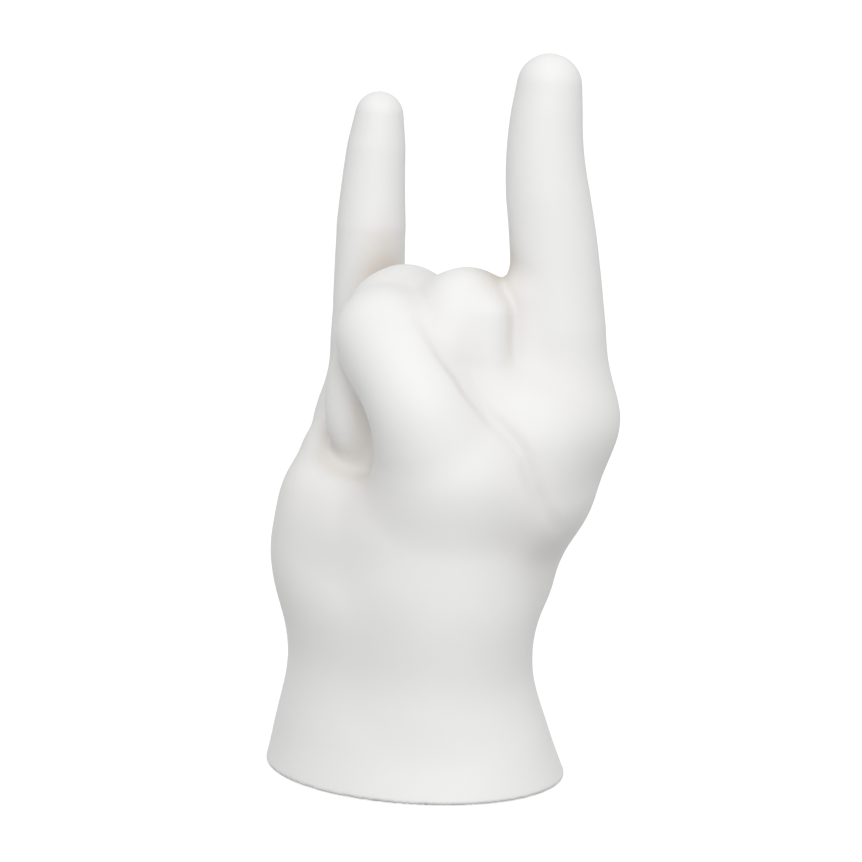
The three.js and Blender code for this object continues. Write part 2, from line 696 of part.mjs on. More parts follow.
casting = casting
  .subtract(solidFromMesh(hollow))
  .subtract(ovalDisc(feltWidth + 2 * FIT_GAP, feltDepth + 2 * FIT_GAP, -SKIRT, FOOT_Z))
  .subtract(ovalDisc(rebateWidth, rebateDepth, -SKIRT, discTop + FIT_GAP));

// The disc that closes the foot, with a tapered bung in its filling hole
const bungRadius = BUNG_DIAMETER / 2;
const bungProfile = (growth, stretch) => [
  [0, FOOT_Z - stretch],
  [bungRadius + growth, FOOT_Z - stretch],
  [bungRadius + growth, FOOT_Z],
  [bungRadius - BUNG_TAPER + growth, discTop],
  [bungRadius - BUNG_TAPER + growth, discTop + stretch],
  [0, discTop + stretch],
];
const disc = ovalDisc(rebateWidth - 2 * FIT_GAP, rebateDepth - 2 * FIT_GAP, FOOT_Z, discTop)
  .subtract(ovalSolid(bungProfile(FIT_GAP, LEAST_BONE), 1));
const bung = ovalSolid(bungProfile(0, 0), 1);

// Ballast poured through the hole fills the hollow above the disc.
const ballast = mainBody(
  solidFromMesh(swell(hollow, hollowField, -FIT_GAP))
    .intersect(ovalDisc(FOOT_WIDTH, FOOT_DEPTH, discTop + FIT_GAP, HOLLOW_TOP + WALL)),
);
const felt = ovalDisc(feltWidth, feltDepth, 0, FELT_THICKNESS);

// The scene
const plain = (color, roughness, metalness) => new THREE.MeshStandardMaterial({ color, roughness, metalness });
const castResin = () => plain(0xe8e6e2, 0.55, 0);
const steel = () => plain(0x8f9296, 0.35, 1);
const fibreboard = () => plain(0x8b6b4a, 0.85, 0);
const rubber = () => plain(0x35363a, 0.8, 0);
const mortar = () => plain(0x77736c, 0.95, 0);
const wool = () => plain(0xcac8c3, 1, 0);

const sculpture = new THREE.Group();

function add(name, solid, material) {
  const { points, triangles } = meshFromSolid(solid);
  const geometry = new THREE.BufferGeometry();
  geometry.setAttribute('position', new THREE.Float32BufferAttribute(points.flatMap((p) => [p.x, p.y, p.z]), 3));
  geometry.setIndex(triangles.flat());
  geometry.computeVertexNormals();
  const mesh = new THREE.Mesh(geometry, material);
  mesh.name = name;
  sculpture.add(mesh);
}

const digitNodes = {
  thumb: 'thumb',
  index: 'index_finger',
  middle: 'middle_finger',
  ring: 'ring_finger',
  little: 'little_finger',
};
add('hand_casting', casting, castResin());
for (const [name, node] of Object.entries(digitNodes)) {
  add(node, pieces[name], castResin());
  add(`${node}_rod`, rods[name], steel());
}
add('base_disc', disc, fibreboard());
add('filler_bung', bung, rubber());
add('ballast', ballast, mortar());
add('felt_pad', felt, wool());

export default sculpture;
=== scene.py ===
"""Looks of a cast hand sculpture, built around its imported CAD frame.

The casting and the five digits each get a fine closed skin. All six skins are parted from one even mesh
that lies on the same smooth distance field as the CAD solids, so the bond lines between them are closed
and dressed flush, as on the real piece. Lengths in the field are millimetres; Blender's are metres.
"""

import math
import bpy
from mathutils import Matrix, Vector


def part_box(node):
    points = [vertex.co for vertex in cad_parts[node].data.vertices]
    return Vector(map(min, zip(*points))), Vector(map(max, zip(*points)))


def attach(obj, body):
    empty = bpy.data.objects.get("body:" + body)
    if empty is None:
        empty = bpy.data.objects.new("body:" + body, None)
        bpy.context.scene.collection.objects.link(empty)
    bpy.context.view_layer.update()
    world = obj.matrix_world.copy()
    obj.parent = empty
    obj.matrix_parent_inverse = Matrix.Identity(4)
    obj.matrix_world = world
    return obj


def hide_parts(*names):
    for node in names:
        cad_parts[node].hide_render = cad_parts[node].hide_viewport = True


bl_info = {
    "name": "Cast hand sculpture",
    "version": (1, 0, 0),
    "blender": (4, 5, 0),
    "location": "3D View > Sidebar > Sculpture",
    "description": "Fine skins, fillings, felt and studio for a cast hand sculpture",
    "category": "Add Mesh",
}

import bmesh
import bpy
import numpy as np
from bpy.props import FloatProperty, FloatVectorProperty, PointerProperty
from mathutils import Vector

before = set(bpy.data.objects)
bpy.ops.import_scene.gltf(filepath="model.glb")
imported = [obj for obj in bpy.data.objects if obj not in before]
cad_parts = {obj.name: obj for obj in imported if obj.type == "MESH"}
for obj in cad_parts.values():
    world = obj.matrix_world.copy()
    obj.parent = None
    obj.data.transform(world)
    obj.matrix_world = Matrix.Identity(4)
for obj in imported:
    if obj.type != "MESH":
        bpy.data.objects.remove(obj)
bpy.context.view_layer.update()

MM = 0.001

# The hand's form: foot, wrist and heel as an oval stem. Rows are height, half width, half depth, centre.
RIM_Z = 0.3
FOOT_Z = 1.3
FOOT_BLEND = 1.5
KNUCKLE = 110.0
CARPUS = 64.0
PALM_TOP = 84.0
STEM_ROWS = np.array([
    (-9.0, 52.5, 43.0, 0.0, 0.0),
    (0.0, 49.5, 40.0, 0.0, 0.0),
    (13.0, 46.0, 35.5, -0.5, -0.5),
    (33.0, 41.0, 31.0, -1.0, -1.0),
    (56.0, 43.0, 31.2, -0.4, -2.3),
    (PALM_TOP, 41.0, 28.5, 0.5, 1.5),
    (KNUCKLE, 41.0, 28.5, 0.5, 1.5),
])
REBATE = (45.5, 36.4)
REBATE_CUT = 2

# Digits: phalanges lean from the vertical by a tilt, towards a heading in plan, both in degrees.
DIGITS = {
    "index": {
        "knuckle": (37.5, 23.5, KNUCKLE - 1), "lengths": (49.5, 29, 20.5), "tilts": (2.3, 7.5, -5),
        "headings": (-40, -40, -40), "radii": (15.3, 13, 11.9, 9.6), "bend": 12, "root": 0, "parting": 46,
    },
    "middle": {
        "knuckle": (17.5, 30, KNUCKLE + 3), "lengths": (44, 38, 14), "tilts": (40, 158, 230),
        "headings": (0, -3, -3), "radii": (12.4, 13.2, 12, 9), "bend": 12, "root": 0, "parting": 13,
    },
    "ring": {
        "knuckle": (-5, 28, KNUCKLE + 1), "lengths": (43.8, 42, 15), "tilts": (35, 155, 212),
        "headings": (-4, -20, -16), "radii": (12.8, 12.2, 11, 9), "bend": 13, "root": 0, "parting": 13,
    },
    "little": {
        "knuckle": (-33, 17, KNUCKLE - 7), "lengths": (44, 27, 22), "tilts": (-1, 2.5, 5.5),
        "headings": (-90, 120, 120), "radii": (13.2, 10.4, 10.8, 7.4), "bend": 12, "root": 0, "parting": 26,
    },
    "thumb": {
        "knuckle": (18, -8, CARPUS - 36), "lengths": (66.5, 28, 24), "tilts": (6.1, 27.5, 49),
        "headings": (72, -26, -106), "radii": (16, 18.5, 15.2, 11.2), "bend": 13, "root": 1, "parting": 13,
    },
}
NODES = {
    "thumb": "thumb",
    "middle": "middle_finger",
    "ring": "ring_finger",
    "index": "index_finger",
    "little": "little_finger",
}
CUT_MARGIN = 2.2

# Palm forms: two ends and the radius at each
INDEX_SHAFT = (30, 19.5, KNUCKLE - 20)
INDEX_SHAFT_RADIUS = 15.5
CARPAL_RADIUS = 13
PALM_FORMS = [
    ((22, 17, CARPUS), INDEX_SHAFT, 14, INDEX_SHAFT_RADIUS),
    ((-24, -8, CARPUS + 5), (-28, 0, KNUCKLE - 18), 18, 13.5),
]
CARPALS = {"middle": (8, 13, CARPUS), "ring": (-6, 11, CARPUS), "little": (-19, 8, CARPUS)}
WEB = ((33, 1, KNUCKLE - 18), (32, 3, KNUCKLE), 13, 11)
WEB_SIDE = ((40, 8.5, KNUCKLE - 5), (39, 9, KNUCKLE - 20), 12.5, 12.5)
PAD = ((-21, -14, KNUCKLE - 26), (-1, -16, KNUCKLE - 31), 10, 10.5)
THENAR_EDGE = ((15.5, -17, KNUCKLE - 8), (13, -15, KNUCKLE - 44), 8, 10.5)
FIST_CORE = ((-4, 8, KNUCKLE + 3), (15, 5, KNUCKLE + 7), 14, 13.5)
CLEFT_FILL = ((2, -5, KNUCKLE - 13), (7, -9, KNUCKLE + 12), 11, 10)
FLANK = ((29.2, 0.9, KNUCKLE + 31), (30.8, -2.1, KNUCKLE + 8), 4.8, 5.5)
INDEX_FILL = ((31, 12, KNUCKLE + 34), (33.5, 9.5, KNUCKLE + 10), 6, 7.5)
KNUCKLE_FILL = ((-6.5, -7.5, KNUCKLE + 31), (4.5, 0, KNUCKLE + 32), 8, 7)
BRIDGE = ((25, 0, KNUCKLE + 4), WEB_SIDE[0], 9.5, 12.5)
PALM_BLEND = 14.0
ROOT_BLEND = 10.0
CREASES = {
    "knit": 7.0, "core": 2.5, "cleft": 6.0, "flank": 7.0, "fill": 8.0, "tip": 12.0, "fist": 5.0,
    "beside_index": 1.5, "index": 4.0, "little": 3.0, "thumb": 3.0, "thumb_tip": 12.0,
}
INDEX_CREASE_REACH = 8.0
TIP_REACH = 20.0
TIP_FULL = 0.35
BEND_STEPS = 12
FAR = 1e3

# Fine skin, in millimetres: how far the solids swell so that they run together, the longest step on the
# way to the surface, how near it a corner counts as on it, and the probes that tell how shut in a place is,
# which set the painted shade.
SWELL = 0.25
LONGEST_STEP = 2
ON_SKIN = 0.12
PAINTED_SHADE_PROBES = ((4, 0.25), (9, 0.35), (16, 0.4))
RELAX_ROUNDS = 3

# Camera: angles in degrees, the point it looks at, and the width of its view for each unit of distance.
AZIMUTH = 40
ELEVATION = 10
AIM_ASIDE = 5.25
AIM_HEIGHT = 104
SENSOR = 36
VIEW_WIDTH = 0.2586
LAMP_AIM = (0, 0, 0.11)
FLOOR_RADIUS = 12
FLOOR_GREY = 0.45
FLOOR_GLOW = 0.75


# The distance field
def smooth_min(a, b, blend):
    overlap = np.maximum(blend - np.abs(a - b), 0) / blend
    return np.minimum(a, b) - overlap * overlap * blend / 4


def smooth_max(a, b, blend):
    return -smooth_min(-a, -b, blend)


def bone(p, start, end, start_radius, end_radius):
    """Distance from points p to a cone between two balls."""
    start, end = np.asarray(start, float), np.asarray(end, float)
    axis = end - start
    length2 = axis @ axis
    taper = start_radius - end_radius
    slant = length2 - taper * taper
    offset = p - start
    along = offset @ axis
    beyond = along - length2
    side = offset * length2 - along[:, None] * axis
    across = (side * side).sum(1)
    along2 = along * along * length2
    beyond2 = beyond * beyond * length2
    k = np.sign(taper) * taper * taper * across
    side_wall = (np.sqrt(np.maximum(across * slant / length2, 0)) + along * taper) / length2 - start_radius
    start_ball = np.sqrt(across + along2) / length2 - start_radius
    end_ball = np.sqrt(across + beyond2) / length2 - end_radius
    out = np.where(np.sign(along) * slant * along2 < k, start_ball, side_wall)
    return np.where(np.sign(beyond) * slant * beyond2 > k, end_ball, out)


def joints(shape):
    points = [np.array(shape["knuckle"], float)]
    for length, tilt, heading in zip(shape["lengths"], shape["tilts"], shape["headings"]):
        t, h = math.radians(tilt), math.radians(heading)
        step = np.array([math.sin(t) * math.sin(h), -math.sin(t) * math.cos(h), math.cos(t)])
        points.append(points[-1] + length * step)
    return points


def stations(shape):
    """Places and radii along a digit, with the corner at each joint rounded off."""
    points, radii, lengths, root = joints(shape), shape["radii"], shape["lengths"], shape["root"]

    def along(i, share):
        return points[i] + (points[i + 1] - points[i]) * share, radii[i] + (radii[i + 1] - radii[i]) * share

    start, start_radius = along(root, 0)
    out = [(start, start_radius - 2), along(root, 0.55)]
    for i in range(root + 1, len(lengths)):
        room = lengths[i - 1] * (0.45 if i == root + 1 else 1) - 1
        before, first = along(i - 1, 1 - min(shape["bend"], room) / lengths[i - 1])
        after, last = along(i, min(shape["bend"], lengths[i] - 1) / lengths[i])
        for t in np.linspace(0, 1, BEND_STEPS + 1):
            place = (1 - t) ** 2 * before + 2 * t * (1 - t) * points[i] + t * t * after
            out.append((place, first + (last - first) * t))
    out.append((points[-1], radii[-1]))
    return out


class Chain:
    """A run of bones, worked out only for the points near it."""

    reach = 24.0

    def __init__(self, stops):
        self.stops = stops
        places = np.array([place for place, _ in stops])
        margin = max(radius for _, radius in stops) + self.reach
        self.low, self.high = places.min(0) - margin, places.max(0) + margin

    def __call__(self, p):
        out = np.full(len(p), FAR)
        near = np.all((p > self.low) & (p < self.high), axis=1)
        q = p[near]
        best = np.full(len(q), FAR)
        for (a, ra), (b, rb) in zip(self.stops[:-1], self.stops[1:]):
            best = np.minimum(best, bone(q, a, b, ra, rb))
        out[near] = best
        return out


JOINTS = {name: joints(shape) for name, shape in DIGITS.items()}
CHAINS = {name: Chain(stations(shape)) for name, shape in DIGITS.items()}


def stem_value(z, column):
    last = len(STEM_ROWS) - 2
    i = np.ones(len(z), int)
    for n in range(2, last):
        i[z > STEM_ROWS[n][0]] = n
    p0, p1, p2, p3 = (STEM_ROWS[np.minimum(i + n, last + 1)] for n in (-1, 0, 1, 2))
    span = p2[:, 0] - p1[:, 0]
    t = np.clip((z - p1[:, 0]) / span, -1, 1)
    m1 = (p2[:, column] - p0[:, column]) / (p2[:, 0] - p0[:, 0]) * span
    m2 = (p3[:, column] - p1[:, column]) / (p3[:, 0] - p1[:, 0]) * span
    t2, t3 = t * t, t * t * t
    return (
        (2 * t3 - 3 * t2 + 1) * p1[:, column] + (t3 - 2 * t2 + t) * m1
        + (3 * t2 - 2 * t3) * p2[:, column] + (t3 - t2) * m2
    )


def stem(p):
    x, y, z = p.T
    half_width, half_depth = stem_value(z, 1), stem_value(z, 2)
    dx, dy = x - stem_value(z, 3), y - stem_value(z, 4)
    k = np.hypot(dx / half_width, dy / half_depth)
    slope = np.hypot(dx / half_width**2, dy / half_depth**2) / np.maximum(k, 1e-6)
    side = np.where(k < 1e-3, -half_depth, (k - 1) / np.maximum(slope, 1e-9))
    return smooth_max(side, z - PALM_TOP, PALM_BLEND)


def palm(p):
    d = stem(p)
    forms = list(PALM_FORMS)
    forms.append((INDEX_SHAFT, JOINTS["index"][0], INDEX_SHAFT_RADIUS, DIGITS["index"]["radii"][0]))
    for name, place in CARPALS.items():
        forms.append((place, JOINTS[name][0], CARPAL_RADIUS, DIGITS[name]["radii"][0]))
    forms.append((*JOINTS["thumb"][:2], *DIGITS["thumb"]["radii"][:2]))
    forms.append(WEB_SIDE)
    for form in forms:
        d = smooth_min(d, bone(p, *form), PALM_BLEND)
    return d


def root(p, name):
    shape = DIGITS[name]
    first = shape["root"]
    start, end = JOINTS[name][first : first + 2]
    near, far = shape["radii"][first : first + 2]
    return bone(p, start, start + (end - start) * 0.8, near, near + (far - near) * 0.8 - 3)


def thumb_tip(p):
    start, end = JOINTS["thumb"][2:]
    near, far = DIGITS["thumb"]["radii"][2:]
    return bone(p, start + (end - start) * 0.6, end, near * 0.4 + far * 0.6 - 1.5, far - 1)


def hand(p):
    """Signed distance, in millimetres, from the cast surface."""
    d = smooth_min(palm(p), bone(p, *WEB), PALM_BLEND)
    d = smooth_min(d, bone(p, *PAD), PALM_BLEND)
    d = smooth_min(d, bone(p, *THENAR_EDGE), PALM_BLEND)
    d = smooth_min(d, bone(p, *BRIDGE), ROOT_BLEND)
    for name in DIGITS:
        d = smooth_min(d, root(p, name), ROOT_BLEND)
    d = smooth_min(d, CHAINS["index"](p), CREASES["index"])
    d = smooth_min(d, CHAINS["little"](p), CREASES["little"])
    fist = smooth_min(CHAINS["ring"](p), CHAINS["middle"](p), CREASES["knit"])
    fist = smooth_min(fist, bone(p, *FIST_CORE), CREASES["core"])
    fist = smooth_min(fist, bone(p, *CLEFT_FILL), CREASES["cleft"])
    fist = smooth_min(fist, bone(p, *FLANK), CREASES["flank"])
    fist = smooth_min(fist, bone(p, *KNUCKLE_FILL), CREASES["fill"])
    fist = smooth_min(fist, thumb_tip(p), CREASES["tip"])
    d = smooth_min(d, bone(p, *INDEX_FILL), CREASES["fill"])
    off_index = np.clip(CHAINS["index"](p) / INDEX_CREASE_REACH, 0, 1)
    d = smooth_min(d, fist, CREASES["beside_index"] + (CREASES["fist"] - CREASES["beside_index"]) * off_index)
    to_tip = np.linalg.norm(p - JOINTS["thumb"][3], axis=1)
    off_tip = np.clip(to_tip / TIP_REACH - TIP_FULL, 0, 1)
    crease = CREASES["thumb_tip"] + (CREASES["thumb"] - CREASES["thumb_tip"]) * off_tip
    d = smooth_min(d, CHAINS["thumb"](p), crease)
    d = d + lines(p, GROOVE, GROOVE_WIDTH)
    return smooth_max(d, RIM_Z - p[:, 2], FOOT_BLEND)


GROOVE_WIDTH = 2.5
GROOVE = (
    (18, -18, 141, 0.3), (23, -18.5, 136, 0.7), (26.5, -17.5, 131, 0.9), (30.5, -16, 125.5, 0.9),
    (33.5, -15.5, 121.5, 1.0), (38, -12.5, 115.5, 1.0), (42, -11, 111.5, 1.0), (46, -9, 107, 1.0),
    (48.5, -8, 103.5, 0.9), (50.5, -6, 95, 0.9), (51.5, -1.5, 87, 0.8), (51, 5, 80, 0.3),
)


def lines(p, stops, width):
    """Height of a soft line drawn on the surface through the given places, each with its own height."""
    best = np.zeros(len(p))
    for start, end in zip(stops[:-1], stops[1:]):
        a, b = np.array(start[:3], float), np.array(end[:3], float)
        t = np.clip((p - a) @ (b - a) / ((b - a) @ (b - a)), 0, 1)
        away = np.linalg.norm(p - a - t[:, None] * (b - a), axis=1)
        best = np.maximum(best, (start[3] + (end[3] - start[3]) * t) * np.exp(-((away / width) ** 2)))
    return best


def slope(field, p, reach=0.15):
    """Unit normals of a field, from four samples round each point."""
    corners = np.array([(1, 1, 1), (1, -1, -1), (-1, 1, -1), (-1, -1, 1)], float)
    out = sum(field(p + reach * corner)[:, None] * corner for corner in corners)
    return out / np.maximum(np.linalg.norm(out, axis=1), 1e-9)[:, None]


def settle(field, p, steps=3):
    """Moves points onto the surface of a field."""
    for _ in range(steps):
        p = p - np.clip(field(p), -LONGEST_STEP, LONGEST_STEP)[:, None] * slope(field, p)
    return p


def zone(name):
    """Field of what lies inside a digit's own sleeve, beyond its parting."""
    shape, points = DIGITS[name], JOINTS[name]
    first = shape["root"]
    direction = points[first + 1] - points[first]
    direction /= np.linalg.norm(direction)
    place = points[first] + direction * shape["parting"]
    share = shape["parting"] / shape["lengths"][first]
    radius = shape["radii"][first] + (shape["radii"][first + 1] - shape["radii"][first]) * share
    stops = CHAINS[name].stops
    ahead = next(n for n, (stop, _) in enumerate(stops) if (stop - place) @ direction > 0)
    chain = Chain([(place, radius), *stops[ahead:]])
    width, depth = 1.5 * radius, radius + 2 * CUT_MARGIN
    side = np.cross(direction, (0, 0, 1))
    side /= np.linalg.norm(side)
    other = np.cross(direction, side)

    def field(p):
        offset = p - place
        along = offset @ direction
        across = np.abs(offset @ side) - width, np.abs(offset @ other) - width
        block = np.max([along, -along - depth, *across], axis=0)
        return np.maximum(chain(p) - CUT_MARGIN, -block)

    return field


def opening(p):
    """Field of the rebate in the foot's underside."""
    oval = (np.hypot(p[:, 0] / REBATE[0], p[:, 1] / REBATE[1]) - 1) * REBATE[1]
    return np.maximum(oval, p[:, 2] - FOOT_Z - REBATE_CUT)


# Mesh helpers
def coordinates(mesh):
    co = np.empty(len(mesh.vertices) * 3)
    mesh.vertices.foreach_get("co", co)
    return co.reshape(-1, 3)


def set_coordinates(mesh, co):
    mesh.vertices.foreach_set("co", co.astype(np.float32).ravel())
    mesh.update()


def edge_pairs(mesh):
    pairs = np.empty(len(mesh.edges) * 2, int)
    mesh.edges.foreach_get("vertices", pairs)
    return pairs.reshape(-1, 2)


def groups(count, pairs):
    """Number of the connected group that each of count things is in."""
    label = np.arange(count)
    while len(pairs):
        low = np.minimum(label[pairs[:, 0]], label[pairs[:, 1]])
        before = label.copy()
        np.minimum.at(label, pairs[:, 0], low)
        np.minimum.at(label, pairs[:, 1], low)
        label = label[label]
        if np.array_equal(label, before):
            break
    return label


def largest(label, chosen):
    """Mask of the largest connected group among the chosen things."""
    names, counts = np.unique(label[chosen], return_counts=True)
    return chosen & (label == names[np.argmax(counts)])


def to_object(bm, name, material):
    mesh = bpy.data.meshes.new(name)
    bm.to_mesh(mesh)
    bm.free()
    obj = bpy.data.objects.new(name, mesh)
    bpy.context.scene.collection.objects.link(obj)
    mesh.materials.append(material)
    return obj


def even_skin(size):
    """One even closed mesh on the cast surface, grown from copies of the CAD nodes."""
    bm = bmesh.new()
    for name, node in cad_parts.items():
        if name != "felt_pad":
            copy = bmesh.new()
            copy.from_mesh(node.data)
            bmesh.ops.remove_doubles(copy, verts=copy.verts, dist=1e-6)
            copy.normal_update()
            for vert in copy.verts:
                vert.co += vert.normal * SWELL * MM
            mesh = bpy.data.meshes.new("swelled")
            copy.to_mesh(mesh)
            copy.free()
            bm.from_mesh(mesh)
            bpy.data.meshes.remove(mesh)
    obj = to_object(bm, "even_skin", None)
    remesh = obj.modifiers.new("Even", "REMESH")
    remesh.mode = "VOXEL"
    remesh.voxel_size = size
    even = bpy.data.meshes.new_from_object(obj.evaluated_get(bpy.context.evaluated_depsgraph_get()))
    old = obj.data
    bpy.data.objects.remove(obj)
    bpy.data.meshes.remove(old)
    label = groups(len(even.vertices), edge_pairs(even))
    keep = largest(label, np.ones(len(label), bool))
    bm = bmesh.new()
    bm.from_mesh(even)
    bpy.data.meshes.remove(even)
    bm.verts.ensure_lookup_table()
    bmesh.ops.delete(bm, geom=[bm.verts[int(n)] for n in np.flatnonzero(~keep)], context="VERTS")
    return bm


def relaxed(bm, rounds):
    """Spreads the corners evenly over the surface."""
    mesh = bpy.data.meshes.new("relaxed")
    bm.to_mesh(mesh)
    p = settle(hand, coordinates(mesh) / MM, 4)
    pairs = edge_pairs(mesh)
    near = np.bincount(pairs.ravel(), minlength=len(p))[:, None]
    for _ in range(rounds):
        middle = np.zeros_like(p)
        np.add.at(middle, pairs[:, 0], p[pairs[:, 1]])
        np.add.at(middle, pairs[:, 1], p[pairs[:, 0]])
        p = settle(hand, p + (middle / near - p) * 0.5, 2)
    set_coordinates(mesh, p * MM)
    bm.clear()
    bm.from_mesh(mesh)
    bpy.data.meshes.remove(mesh)
    bmesh.ops.triangulate(bm, faces=bm.faces)
    return bm


def split_along(bm, field):
    """Cuts the mesh along the line where a field is zero."""
    p = np.array([vert.co for vert in bm.verts]) / MM
    value = field(p)
    value = np.where(np.abs(value) < 1e-4, 1e-4, value)
    bm.verts.index_update()
    crossing = [e for e in bm.edges if value[e.verts[0].index] * value[e.verts[1].index] < 0]
    cut = set()
    for edge in crossing:
        a, b = edge.verts
        share = value[a.index] / (value[a.index] - value[b.index])
        _, vert = bmesh.utils.edge_split(edge, a, min(max(share, 0.06), 0.94))
        cut.add(vert)
    faces = {face for vert in cut for face in vert.link_faces}
    for face in faces:
        ends = [vert for vert in face.verts if vert in cut]
        if len(ends) == 2:
            bmesh.utils.face_split(face, ends[0], ends[1])


def label_faces(bm):
    """Which piece each face belongs to: the place of a digit in NODES, from 1, or 0 for the casting."""
    middles = np.array([face.calc_center_median() for face in bm.faces]) / MM
    bm.faces.index_update()
    pairs = np.array([[f.index for f in e.link_faces] for e in bm.edges if len(e.link_faces) == 2])
    owner = np.zeros(len(middles), int)
    fields = [zone(name) for name in NODES] + [opening]
    for number, field in enumerate(fields, 1):
        inside = (field(middles) < 0) & (owner == 0)
        joined = pairs[inside[pairs[:, 0]] & inside[pairs[:, 1]]]
        owner[largest(groups(len(owner), joined), inside)] = number
    # What the cuts leave loose goes with the piece that it touches.
    same = pairs[owner[pairs[:, 0]] == owner[pairs[:, 1]]]
    label = groups(len(owner), same)
    loose = (owner == 0) & ~largest(label, owner == 0)
    for island in np.unique(label[loose]):
        mask = label == island
        rim = pairs[mask[pairs[:, 0]] != mask[pairs[:, 1]]]
        touching = np.where(mask[rim[:, 0]], owner[rim[:, 1]], owner[rim[:, 0]])
        if len(touching):
            owner[mask] = np.bincount(touching).argmax()
    return owner


def skin_normals(mesh):
    """Shades the cast surface by the field itself, so that no facet or bond line shows."""
    p = coordinates(mesh) / MM
    on_skin = np.abs(hand(p)) < ON_SKIN
    normals = slope(hand, p)
    corners = np.empty(len(mesh.loops), int)
    mesh.loops.foreach_get("vertex_index", corners)
    starts = np.empty(len(mesh.polygons), int)
    totals = np.empty(len(mesh.polygons), int)
    mesh.polygons.foreach_get("loop_start", starts)
    mesh.polygons.foreach_get("loop_total", totals)
    flat = np.empty(len(mesh.polygons) * 3)
    mesh.polygons.foreach_get("normal", flat)
    flat = np.repeat(flat.reshape(-1, 3), totals, axis=0)
    outer = np.repeat(np.minimum.reduceat(on_skin[corners].astype(int), starts) > 0, totals)
    rest = np.where(outer[:, None], normals[corners], flat)
    mesh.polygons.foreach_set("use_smooth", np.ones(len(mesh.polygons), bool))
    mesh.normals_split_custom_set(rest.tolist())
    return p, normals


def painted_shade_mask(p, normals):
    """How shut in each point is, from 0 in the open to about 1 in the deepest hollow; it masks the painted
    shade.
    """
    out = np.zeros(len(p))
    for distance, weight in PAINTED_SHADE_PROBES:
        out += weight * np.clip(1 - hand(p + normals * distance) / distance, 0, 1)
    return out


# Node groups and materials
def socket(group, name, kind, direction, default=None):
    made = group.interface.new_socket(name=name, in_out=direction, socket_type=kind)
    if default is not None:
        made.default_value = default


def calculated(tree, operation, first, second):
    """Output of a Math node. Each input is an output to follow or a plain number."""
    node = tree.nodes.new("ShaderNodeMath")
    node.operation = operation
    for entry, value in zip(node.inputs, (first, second)):
        if isinstance(value, bpy.types.NodeSocket):
            tree.links.new(value, entry)
        else:
            entry.default_value = value
    return node.outputs[0]


def looked_at(tree):
    """1 where a thing is seen, straight or in a reflection, and 0 where it only lights other things."""
    rays = tree.nodes.new("ShaderNodeLightPath").outputs
    seen = calculated(tree, "MAXIMUM", rays["Is Camera Ray"], rays["Is Glossy Ray"])
    return calculated(tree, "MAXIMUM", seen, rays["Is Transmission Ray"])


def grain_group():
    """Fine cast grain: an uneven skin with small pits. Height feeds a Bump node."""
    group = bpy.data.node_groups.new("Cast grain", "ShaderNodeTree")
    socket(group, "Vector", "NodeSocketVector", "INPUT")
    socket(group, "Scale", "NodeSocketFloat", "INPUT", 600.0)
    socket(group, "Pits", "NodeSocketFloat", "INPUT", 0.3)
    socket(group, "Height", "NodeSocketFloat", "OUTPUT")
    socket(group, "Mottle", "NodeSocketFloat", "OUTPUT")
    nodes, links = group.nodes, group.links
    enter, leave = nodes.new("NodeGroupInput"), nodes.new("NodeGroupOutput")
    fine, broad = nodes.new("ShaderNodeTexNoise"), nodes.new("ShaderNodeTexNoise")
    pits = nodes.new("ShaderNodeTexVoronoi")
    ramp = nodes.new("ShaderNodeMapRange")
    ramp.inputs["From Max"].default_value = 0.12
    fine.inputs["Detail"].default_value = 3.0
    broad.inputs["Detail"].default_value = 4.0
    for texture in (fine, broad, pits):
        links.new(enter.outputs["Vector"], texture.inputs["Vector"])
    links.new(enter.outputs["Scale"], fine.inputs["Scale"])
    links.new(enter.outputs["Scale"], pits.inputs["Scale"])
    links.new(calculated(group, "MULTIPLY", enter.outputs["Scale"], 0.06), broad.inputs["Scale"])
    links.new(pits.outputs["Distance"], ramp.inputs["Value"])
    depth = calculated(group, "MULTIPLY", ramp.outputs["Result"], enter.outputs["Pits"])
    links.new(calculated(group, "ADD", fine.outputs["Fac"], depth), leave.inputs["Height"])
    links.new(broad.outputs["Fac"], leave.inputs["Mottle"])


def material(
    name, colour, second, roughness, grain, scale, pits=0.3, height=0.02, metallic=0.0, stretch=None,
):
    """A matte material whose colour, roughness and bump follow the cast grain."""
    made = bpy.data.materials.new(name)
    made.use_nodes = True
    nodes, links = made.node_tree.nodes, made.node_tree.links
    shader = nodes["Principled BSDF"]
    where = nodes.new("ShaderNodeTexCoord")
    effect = nodes.new("ShaderNodeGroup")
    effect.node_tree = grain
    effect.inputs["Scale"].default_value = scale
    effect.inputs["Pits"].default_value = pits
    place = where.outputs["Object"]
    if stretch:
        turn = nodes.new("ShaderNodeMapping")
        turn.inputs["Scale"].default_value = stretch
        links.new(place, turn.inputs["Vector"])
        place = turn.outputs["Vector"]
    links.new(place, effect.inputs["Vector"])
    tint = nodes.new("ShaderNodeMix")
    tint.data_type = "RGBA"
    tint.inputs["A"].default_value = (*colour, 1)
    tint.inputs["B"].default_value = (*second, 1)
    links.new(effect.outputs["Mottle"], tint.inputs["Factor"])
    links.new(tint.outputs["Result"], shader.inputs["Base Color"])
    rough = nodes.new("ShaderNodeMapRange")
    rough.inputs["To Min"].default_value = roughness - 0.06
    rough.inputs["To Max"].default_value = roughness + 0.06
    links.new(effect.outputs["Mottle"], rough.inputs["Value"])
    links.new(rough.outputs["Result"], shader.inputs["Roughness"])
    bump = nodes.new("ShaderNodeBump")
    bump.inputs["Strength"].default_value = 0.6
    bump.inputs["Distance"].default_value = height * MM
    links.new(effect.outputs["Height"], bump.inputs["Height"])
    links.new(bump.outputs["Normal"], shader.inputs["Normal"])
    shader.inputs["Metallic"].default_value = metallic
    return made, tint


